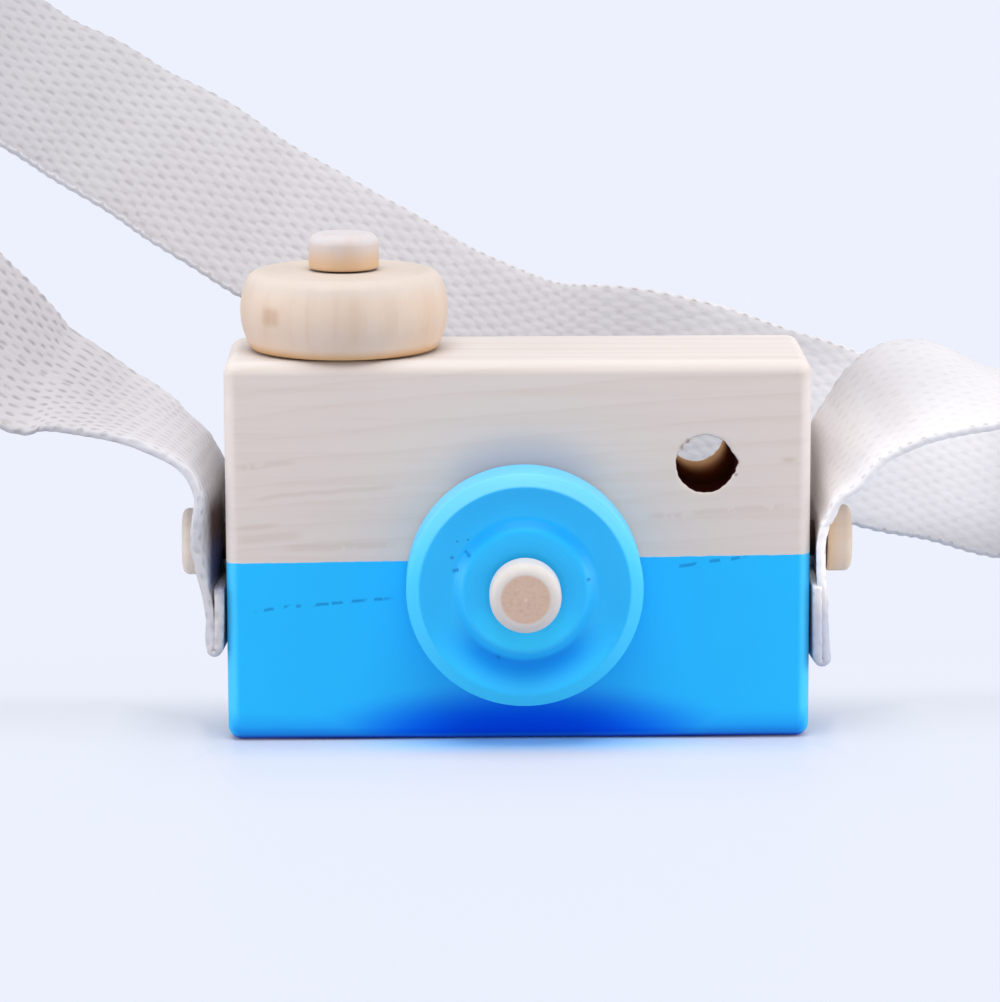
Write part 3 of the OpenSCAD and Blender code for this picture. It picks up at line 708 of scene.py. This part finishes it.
def material(name, roughness, specular):
    """A material with its shader, the piece's own coordinates and its map."""
    made = bpy.data.materials.new(name)
    made.use_nodes = True
    tree = made.node_tree
    shader = tree.nodes["Principled BSDF"]
    feed(shader, {"Roughness": roughness, "Specular IOR Level": specular})
    at = tree.nodes.new("ShaderNodeTexCoord").outputs
    return made, shader, Value(tree, at["Object"]), Value(tree, at["UV"])


def streak_mask(own, table):
    """The lines of a table, as one mask."""
    return largest(*(place(STREAK, vector=own, height=h, rise=r, from_x=a, to_x=b, width=w, broken=k)["mask"]
                     for h, r, a, b, w, k in table))


def pit_mask(own, table, soft):
    """The blots of a table, as one mask."""
    return largest(*(place(PIT, vector=own, at_x=x, at_z=z, radius=r, soft=soft)["mask"]
                     for x, z, r in table))


# The mask of the painted highlights along the block's rounded edges
def edge_highlight_mask(axes):
    """One along the block's rounded edges: the sum of the products of two distances past the flats."""
    past = [(abs(axis - middle * MM) - (size / 2 - EDGE_R) * MM).do("MAXIMUM", 0.0)
            for axis, middle, size in zip(axes, (0.0, 0.0, BODY_H / 2), (BODY_W, BODY_D, BODY_H))]
    both = past[0] * past[1] + past[1] * past[2] + past[2] * past[0]
    return both.ramp(0.1 * (EDGE_R * MM) ** 2, 0.45 * (EDGE_R * MM) ** 2)


def block_finish():
    """Bare pine above the paint line and blue paint below it, over the same growth rings and open pores.

    The drilled bore is scorched brown, with painted shade near its front and painted light towards
    its back opening. Torn fibres, darkened by painted shade in their notches, mark its rim. Painted
    shadow deepens the paint under the lens and along the foot, painted light pales the rounded
    edges and the top face, and painted shade with blue bounce light tints the wood above the lens.
    """
    made, shader, own, _ = material("pine_half_painted", 0.6, 0.22)
    rings, paint = place(RINGS, vector=own), place(PAINT, vector=own)
    x, y, z = parts(own)
    paint_line = x * 0.0105 + 0.0301 + (noise(own, 700.0) - 0.5) * 0.0002
    painted = (paint_line - z).ramp(-0.00006, 0.00006)
    front = y.ramp(-0.014, -0.0148)
    pores, streaks = streak_mask(own, PAINT_PORES), streak_mask(own, WOOD_STREAKS)
    # torn fibres on the viewfinder's rim, their dark tone partly painted shade in the notches
    torn = pit_mask(own, FINDER_TEARS, 0.7) * front
    grain = rings["late"] * (rings["cloud"] * 0.9 + 0.05)
    top_lines = noise(own, (9, 330, 0)).ramp(0.46, 0.62) * z.ramp(0.0612, 0.0622)
    wide, tall = 0.6, 1.4
    smear_at = (0.0438 * wide, 0.0462 * tall, 0.0007)
    smear = pit_mask(stretched(own, (wide, 1, tall)), (smear_at,), 1.0) * front
    across, up = x - LENS_X * MM, z - LENS_Z * MM
    round_lens = distance(across, up)
    # painted shade with blue bounce light: a blue-grey halo on the wood just above the lens
    lens_halo_shade = round_lens.ramp(0.0262, 0.019) * front * (up / round_lens).ramp(0.7, 0.98)
    edge_highlight = edge_highlight_mask((x, y, z))
    round_bore = distance(x - FINDER_X * MM, z - FINDER_Z * MM)
    bore = round_bore.ramp(0.0063, 0.0061) * abs(y).ramp(0.01496, 0.01475)
    # the bore: scorched brown, with painted shade near its front and painted light towards its back opening
    scorched = coats(BORE_FRONT_SHADE, (y.ramp(-0.013, 0.002), BORE_MIDDLE), (y.ramp(0.0, 0.0125), BORE_BACK_LIT))
    wood = coats(
        PINE,
        (grain * 0.5, PINE_LATE),
        (rings["fibre"].ramp(0.45, 0.75) * 0.22, PINE_LATE),
        # painted light: the top face paler and greyer, as lit from above
        (z.ramp(0.0612, 0.0624, 0.0, 0.8), PINE_TOP_LIT),
        (top_lines * 0.28, PINE_LATE),
        (streaks * 0.17, PINE_PORE),
        (smear * 0.45, PINE_SMEAR),
        (torn * 0.7, PINE_TORN_AND_SHADED),
        (lens_halo_shade * 0.6, PINE_LENS_HALO_SHADE),
        # painted highlight: lighter wood along the rounded edges, less on the top edges
        (edge_highlight * z.ramp(0.056, 0.061, 0.4, 0.1), PINE_EDGE_HIGHLIGHT),
        (bore, scorched))

    # painted shadow: deeper blue under the lens, and darker towards the foot
    u, v = across * 26.0, z * 95.0
    lens_shadow = (u * u + v * v).ramp(1.0, 0.0)
    painted_shadow = largest(lens_shadow * 0.95, z.ramp(0.0052, 0.0, 0.0, 0.5)) * front
    blue = coats(
        BLUE,
        (paint["cloud"] * 0.6, BLUE_DEEP),
        (grain * 0.15, BLUE_DEEP),
        (pores * 0.7, BLUE_PORE),
        # painted highlight: lighter paint along the rounded edges above the foot
        (edge_highlight * 0.75 * z.ramp(0.002, 0.006), BLUE_EDGE_HIGHLIGHT),
        (painted_shadow, BLUE_PAINTED_SHADOW),
        # painted shade: a navy line along the foot
        (z.ramp(0.0012, 0.0004, 0.0, 0.9), BLUE_FOOT_SHADE))
    rough = rings["fibre"] * 0.35 - largest(pores, torn) * 0.8
    height = painted * 0.9 + rough * (painted * -0.55 + 1.0) + paint["stipple"] * 0.12
    dull = largest(bore, painted_shadow)
    feed(shader, {
        "Base Color": tint(painted, wood, blue), "Roughness": painted.ramp(0.0, 1.0, 0.66, 0.46),
        "Specular IOR Level": dull.ramp(0.0, 1.0, 0.22, 0.0), "Normal": bump(height, 0.00006)})
    return made


def lens_finish():
    """Blue paint over a turned wheel, with painted highlights on the rim, the most on its upper side, and
    painted shade in the groove above the hub, on its upper shoulder and in the channel below it. Painted
    light brightens the lower part of the hub's hollow.

    Faint turning rings and the pits that the paint didn't fill mark its face.
    """
    made, shader, own, _ = material("blue_painted_wheel", 0.42, 0.4)
    paint = place(PAINT, vector=own)
    pits = pit_mask(own, LENS_PITS, 0.5)
    x, _, z = parts(centred(own, LENS_X, 0, LENS_Z))
    far = distance(x, z)
    upright = z / far
    on_rim = far.ramp(0.01685, 0.01715)
    shoulder = far.ramp(0.0094, 0.0104) * far.ramp(0.0124, 0.0114)
    # groove and run: painted shade, a thin dark arc in the groove above the hub and a dark crescent in the
    # channel below it
    groove = far.ramp(0.0099, 0.0108) * far.ramp(0.012, 0.0109) * upright.ramp(0.2, 0.8)
    run = far.ramp(0.0108, 0.0119) * far.ramp(0.0168, 0.0122) * upright.ramp(-0.35, -0.95)
    blue = coats(
        BLUE,
        (paint["cloud"] * 0.6, BLUE_DEEP),
        # painted highlights: paler paint all round the rim, paler still on its upper side
        (on_rim, BLUE_RIM_LIT),
        (on_rim * upright.ramp(0.1, 0.9), BLUE_RIM_TOP_HIGHLIGHT),
        # painted shade on the hub's upper shoulder, and painted light in the lower part of its hollow
        (shoulder * upright.ramp(-0.1, 0.7, 0.0, 0.55), BLUE_SHOULDER_SHADE),
        (far.ramp(0.0102, 0.0092) * upright.ramp(-0.2, -0.9, 0.0, 0.8), BLUE_HOLLOW_LIT),
        (largest(groove * 0.35, run * 0.75), BLUE_CHANNEL_SHADE),
        (pits * 0.8, BLUE_PORE))
    dull = largest(shoulder * upright.ramp(0.1, 0.7), run, on_rim * upright.ramp(-0.3, -0.9))
    lathe = (far * 7000.0).do("SINE")
    height = lathe * 0.05 + paint["stipple"] * 0.16 - pits * 2.0
    feed(shader, {
        "Base Color": blue, "Roughness": paint["cloud"].ramp(0.2, 0.8, 0.36, 0.46),
        "Specular IOR Level": dull.ramp(0.0, 1.0, 0.4, 0.14), "Normal": bump(height, 0.00006)})
    return made


def dial_finish():
    """Bare turned wood with upright grain: streaks down the side and a brown knot, with a painted greyish
    sheen on the upper side and painted warm bounce light and shade along the lower edge.
    """
    made, shader, own, _ = material("turned_pale_wood", 0.6, 0.4)
    own = centred(own, DIAL_X, 0, BODY_H)
    x, y, z = parts(own)
    streak, band = noise(own, (420, 420, 30), 3.0, 0.6), noise(own, (110, 110, 10))
    knot = abs(x + 0.0116).ramp(0.0019, 0.0006) * abs(z - 0.007).ramp(0.0022, 0.0006) * y.ramp(0.0, -0.004)
    wood = coats(
        DIAL_WOOD,
        (band.ramp(0.35, 0.7), DIAL_BAND),
        (streak.ramp(0.45, 0.75) * 0.35, DIAL_STREAK),
        # painted sheen: the upper side greyer, as lit from above
        (z.ramp(0.0085, 0.0125, 0.0, 0.7), DIAL_TOP_SHEEN),
        # painted warm bounce light on the lower side, and painted warm bounce light and shade at the foot
        (z.ramp(0.0046, 0.0008, 0.0, 0.6), DIAL_LOW_BOUNCE),
        (z.ramp(0.0022, 0.0004, 0.0, 0.85), DIAL_FOOT_BOUNCE_SHADE),
        (knot * 0.55, DIAL_KNOT))
    rough = streak.ramp(0.3, 0.8, 0.55, 0.7)
    feed(shader, {"Base Color": wood, "Roughness": rough, "Normal": bump(streak, 0.00004)})
    return made


def peg_finish(name, centre, axis, end, pale, warm, foot):
    """Bare dowel wood: fibres along the head and darker end grain with pores, painted warm bounce light
    at the foot and painted shade on the shank.

    end is the radius and height of the end grain. foot is the height where the painted warm bounce light
    starts and where it has faded.
    """
    made, shader, own, _ = material(name, 0.6, 0.35)
    own = centred(own, *centre)
    fibre = noise(own, tuple(40.0 if k == axis else 520.0 for k in range(3)), 3.0, 0.6)
    axes = parts(own)
    far, out = distance(*(axes[k] for k in range(3) if k != axis)), abs(axes[axis])
    (end_r, end_h), (foot_low, foot_high) = end, foot
    capped = far.ramp(end_r + 0.00025, end_r - 0.00025) * out.ramp(end_h - 0.0003, end_h - 0.0001)
    pores = noise(own, 1500.0, 3.0).ramp(0.45, 0.7)
    grain = coats(END_GRAIN, (pores * 0.4, END_PORE), (far.ramp(0.00032, 0.00018), END_DOT))
    wood = coats(
        pale,
        (fibre.ramp(0.35, 0.75) * 0.2, warm),
        # painted warm bounce light at the foot of the head
        (out.ramp(foot_high, foot_low, 0.0, 0.85), warm),
        (capped, grain),
        # painted shade: the shank below the head dark
        (out.ramp(foot_low - 0.0001, foot_low - 0.0003), SHANK_SHADE))
    rough = fibre.ramp(0.3, 0.8, 0.55, 0.7)
    feed(shader, {"Base Color": wood, "Roughness": rough, "Normal": bump(fibre, 0.00004)})
    return made


def peg_gap_shade(x, y, z):
    """The strap's inner face in the closed gap at the left peg, darkened as painted shade, navy below and
    dark brown above.
    """
    out = x * -1.0 - BODY_W / 2 * MM
    gap = out.ramp(0.0032, 0.0023) * out.ramp(-0.001, 0.0) * y.ramp(-0.0175, -0.0165) * y.ramp(0.004, -0.002)
    return gap * z.ramp(0.0405, 0.0365) * z.ramp(0.0235, 0.0265) * 0.9


def webbing_finish(name, pale, shade_left, yarn, pitch, half):
    """Undyed cotton webbing: a plain weave, with painted shade where its yarns dip and a dotted line
    of painted shade by the selvedges.

    Painted shade makes it greyer towards the left, where its weave is also crisper, and it is felted smooth
    on the right. Painted light and shade also lie by the block, on the right arch and its fold, and along
    the lower selvedge. half is the way round the section from the middle of a face to the selvedge.
    """
    made, shader, own, uv = material(name, 0.92, 0.2)
    weave = place(WEAVE, vector=uv, yarn=yarn, pitch=pitch)
    x, y, z = parts(own)
    run, girth, _ = parts(uv)
    crisp = x.ramp(0.07, -0.09, 0.4, 1.0)
    dips = (weave["dip"] * 0.85).do("MINIMUM", 1.0) * crisp
    shade_behind = y.ramp(0.02, 0.03) * x.ramp(0.045, 0.015)
    to_right = x.ramp(0.034, 0.055)
    arch = to_right * z.ramp(0.058, 0.046) * z.ramp(0.02, 0.029)
    lit_near_block = arch * x.ramp(0.0535, 0.049) * y.ramp(0.02, 0.016)
    fold = x.ramp(0.044, 0.047) * z.ramp(0.024, 0.018) * y.ramp(0.02, 0.017)
    lit_left_by_block = x.ramp(-0.068, -0.058) * x.ramp(-0.044, -0.047) * y.ramp(0.022, 0.018) * z.ramp(0.033, 0.04)
    at_left = x.ramp(-0.058, -0.07) * y.ramp(0.024, 0.018)
    from_edge = abs(abs(girth) - half)
    selvedge = from_edge.ramp(0.0012, 0.0008)
    lit_lower_edge = y.ramp(0.02, 0.028) * girth.ramp(0.0, -0.001)
    beads = (run * (4 * np.pi / pitch)).do("COSINE")
    dots = beads.ramp(0.1, 0.9) * noise(uv, (150, 0, 0)).ramp(0.36, 0.56)
    selvedge_shade = abs(from_edge - 0.0009).ramp(0.00028, 0.00008) * dots
    cloth = coats(
        pale,
        # painted shade: greyer cotton towards the left
        (x.ramp(-0.005, -0.14), shade_left),
        # painted shade: darker behind the block
        (shade_behind, (0.89, 0.89, 0.9), "MULTIPLY"),
        # painted shade: the top of the right arch darker
        (to_right * z.ramp(0.049, 0.058), (0.91, 0.91, 0.92), "MULTIPLY"),
        # painted light: lighter cotton on the right by the block, lightest nearest to it
        (arch, COTTON_RIGHT_LIT),
        (lit_near_block * 0.9, COTTON_NEAR_LIT),
        # painted shade: the far right of the arch darker
        (x.ramp(0.08, 0.1), (0.72, 0.72, 0.73), "MULTIPLY"),
        # painted shade with blue bounce light on the right fold
        (fold, (0.8, 0.85, 0.96), "MULTIPLY"),
        # painted light: a lighter, bluish patch on the left strap by the block
        (lit_left_by_block * 0.6, COTTON_LEFT_LIT),
        # painted shade in the weave's dips, deeper on the left
        (dips, (0.8, 0.79, 0.8), "MULTIPLY"),
        (dips * at_left, (0.84, 0.84, 0.86), "MULTIPLY"),
        (noise(own, 90.0, 3.0).ramp(0.35, 0.75) * 0.3, (0.9, 0.89, 0.88), "MULTIPLY"),
        (weave["twist"].ramp(0.5, 0.8) * 0.2, (0.85, 0.85, 0.85), "MULTIPLY"),
        # painted light along the lower selvedge of the runs behind the block
        (selvedge * lit_lower_edge * 0.75, COTTON_LOWER_EDGE_LIT),
        # painted shade: a dotted dark line by the selvedges
        (selvedge_shade * 0.6, COTTON_SELVEDGE_SHADE),
        # painted shade in the gap at the left peg
        (peg_gap_shade(x, y, z), tint(z.ramp(0.0305, 0.0345), GAP_SHADE_LOW, GAP_SHADE_HIGH)))
    height = selvedge * beads * 0.4 + weave["height"] * crisp
    feed(shader, {
        "Base Color": cloth, "Normal": bump(height, 0.00012), "Sheen Weight": 0.06, "Sheen Roughness": 0.6})
    return made


# The view that the photograph was taken from, the light and the floor

def into_scene(name, data):
    """A new object of the scene."""
    made = bpy.data.objects.new(name, data)
    bpy.context.scene.collection.objects.link(made)
    return made


def set_camera():
    """A long lens a little above the toy: its directions from three angles, and its eye."""
    turn, tilt, roll = np.radians([-0.663, 10.45, -0.212])
    aim, away, focal = np.array([-2.941, -15.0, 39.695]), 747.07, 4.6128
    ahead = np.array([-np.sin(turn) * np.cos(tilt), np.cos(turn) * np.cos(tilt), -np.sin(tilt)])
    right = np.array([np.cos(turn), np.sin(turn), 0])
    up = np.cross(right, ahead)
    right, up = np.cos(roll) * right + np.sin(roll) * up, -np.sin(roll) * right + np.cos(roll) * up
    eye = aim - away * ahead
    lens = bpy.data.cameras.new("photo_view")
    lens.sensor_fit, lens.sensor_width, lens.lens = "HORIZONTAL", 36.0, 36.0 * focal
    lens.clip_start, lens.clip_end = 0.01, 50.0
    camera = into_scene("photo_view", lens)
    rows = [[*row, e * MM] for row, e in zip(np.column_stack([right, up, -ahead]), eye)]
    camera.matrix_world = Matrix(rows + [[0, 0, 0, 1]])
    bpy.context.scene.camera = camera


def seen(tree):
    """One where the eye, a reflection or a clear material looks straight at the surface."""
    path = tree.nodes.new("ShaderNodeLightPath").outputs
    rays = ("Is Camera Ray", "Is Glossy Ray", "Is Transmission Ray")
    return largest(*(Value(tree, path[ray]) for ray in rays))


def set_light():
    """Soft light: a pale sky, a broad lamp above and a little in front, and a lamp at each side."""
    world = bpy.data.worlds.new("pale_sky")
    bpy.context.scene.world = world
    world.use_nodes = True
    tree = world.node_tree
    feed(tree.nodes["Background"], {"Color": tint(seen(tree), (0.5, 0.5, 0.505), (0.85, 0.885, 0.985))})
    lamp = bpy.data.lights.new("overhead", "SUN")
    lamp.energy, lamp.angle = 2.5, np.radians(50)
    into_scene("overhead", lamp).rotation_euler = (np.radians(17), 0, 0)
    for side in (-1, 1):
        box = bpy.data.lights.new("side_box", "AREA")
        box.size, box.energy = 0.5, 2.6
        spot = into_scene("side_box", box)
        spot.location = (0.6 * side, -0.08, 0.17)
        spot.rotation_euler = (0, np.radians(90 - 12) * side, -np.radians(8) * side)
        spot.visible_camera = False


def set_floor():
    """A wide pale floor: it shines a little by itself away from the block, so that its shadows stay soft."""
    made, shader, own, _ = material("pale_floor", 0.42, 0.4)
    tree = own.tree
    x, y, _ = parts(own)
    beside, before = abs(x) - BODY_W / 2 * MM, abs(y) - BODY_D / 2 * MM
    near = largest(beside * 2.5, before)
    bounce = near.ramp(0.0115, 0.002) * abs(x - LENS_X * MM).ramp(0.036, 0.008)
    pale = coats((0.53, 0.555, 0.63), (noise(own, 6.0), (0.54, 0.565, 0.64)), (bounce, (0.4, 0.78, 1.0)))
    feed(shader, {"Base Color": pale})
    all_round = near.ramp(0.002, 0.016, 0.0, 0.5) + near.ramp(0.016, 0.055, 0.0, 0.3)
    not_hidden = largest(beside.ramp(-0.02, 0.0), y.ramp(0.05, 0.15))
    share = largest(all_round, not_hidden * y.ramp(-0.022, 0.026, 0.0, 0.97), abs(x).ramp(0.1, 0.18))
    glow = add(tree, "ShaderNodeEmission", {"Color": (0.845, 0.88, 0.985, 1)})
    plain = Value(tree, shader.outputs[0])
    both = add(tree, "ShaderNodeMixShader", {0: seen(tree) * share, 1: plain, 2: glow})
    feed(tree.nodes["Material Output"], {"Surface": both})
    reach = np.linspace(-4000, 4000, 9)
    p, q = np.meshgrid(reach, reach, indexing="ij")
    floor = put_mesh("floor", np.stack([p, q, 0 * p], -1).reshape(-1, 3), grid_quads(9, 9)[:, ::-1])
    floor.data.materials.append(made)


def dress(piece, finish, slot, body, *nodes):
    """Gives a piece its finish, the body it rides on and the solids it stands for. slot is not used."""
    piece.data.materials.append(finish)
    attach(piece, body)
    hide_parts(*nodes)
    return piece


def main():
    """Makes and dresses the pieces, then the floor and the light."""
    bpy.context.scene.view_settings.view_transform = "Standard"
    set_camera()

    at, across, out, along = strap_line()
    cotton = webbing_finish("cotton_webbing", COTTON, COTTON_SHADE_LEFT, yarn=0.00105, pitch=0.0043, half=0.01548)
    strap = dress(strap_mesh("strap", at, across, out, along), cotton, "webbing", "root",
                  "strap_end_left", "strap_end_right", "strap_run_left", "strap_run_right", "strap_roll")
    tape = webbing_finish("cotton_tape", TAPE, TAPE_SHADE_LEFT, yarn=0.0005, pitch=0.0016, half=0.0024)
    tie = dress(tie_mesh("strap_tape"), tape, "tie_tape", "root", "strap_tie")
    along[-1] * MM
    (at[::4] * MM).tolist()

    dress(pine_block("block"), block_finish(), "block_wood", "root", "body_block")
    dress(turned("lens_disc", lens_profile(), on_front), lens_finish(), "blue_paint", "lens", "lens_wheel")
    dress(turned("dial_disc", dial_profile(), on_top), dial_finish(), "wheel_wood", "dial", "dial_wheel")
    dowel = peg_finish(
        "lens_dowel", (LENS_X, -BODY_D / 2, LENS_Z), axis=1, end=(0.00395, 0.0168),
        pale=(0.575, 0.54, 0.515), warm=(0.54, 0.43, 0.36), foot=(0.0105, 0.0115))
    pin = peg("lens_pin", on_front, stand=11.0, head_d=11.5, head_h=5.8, head_r=1.8)
    dress(pin, dowel, "peg_wood", "root", "lens_peg")
    dowel = peg_finish(
        "dial_dowel", (DIAL_X, 0, BODY_H), axis=2, end=(0.0001, 0.0192),
        pale=(0.55, 0.522, 0.545), warm=(0.6, 0.37, 0.18), foot=(0.0136, 0.019))
    pin = peg("dial_pin", on_top, stand=13.4, head_d=11.5, head_h=5.8, head_r=1.8)
    dress(pin, dowel, "peg_wood", "root", "dial_peg")
    for side, spot, x, pale in (("left", on_left, -BODY_W / 2, (0.8, 0.7, 0.62)),
                                ("right", on_right, BODY_W / 2, (0.76, 0.62, 0.5))):
        dowel = peg_finish(
            "strap_dowel_" + side, (x, 0, STRAP_PEG_Z), axis=0, end=(0.0043, 0.0077),
            pale=pale, warm=(0.74, 0.52, 0.32), foot=(0.0036, 0.0062))
        pin = peg("strap_pin_" + side, spot, stand=3.6, head_d=11.0, head_h=4.1, head_r=1.2)
        dress(pin, dowel, "peg_wood", "root", "strap_peg_" + side)

    set_floor()
    set_light()


main()
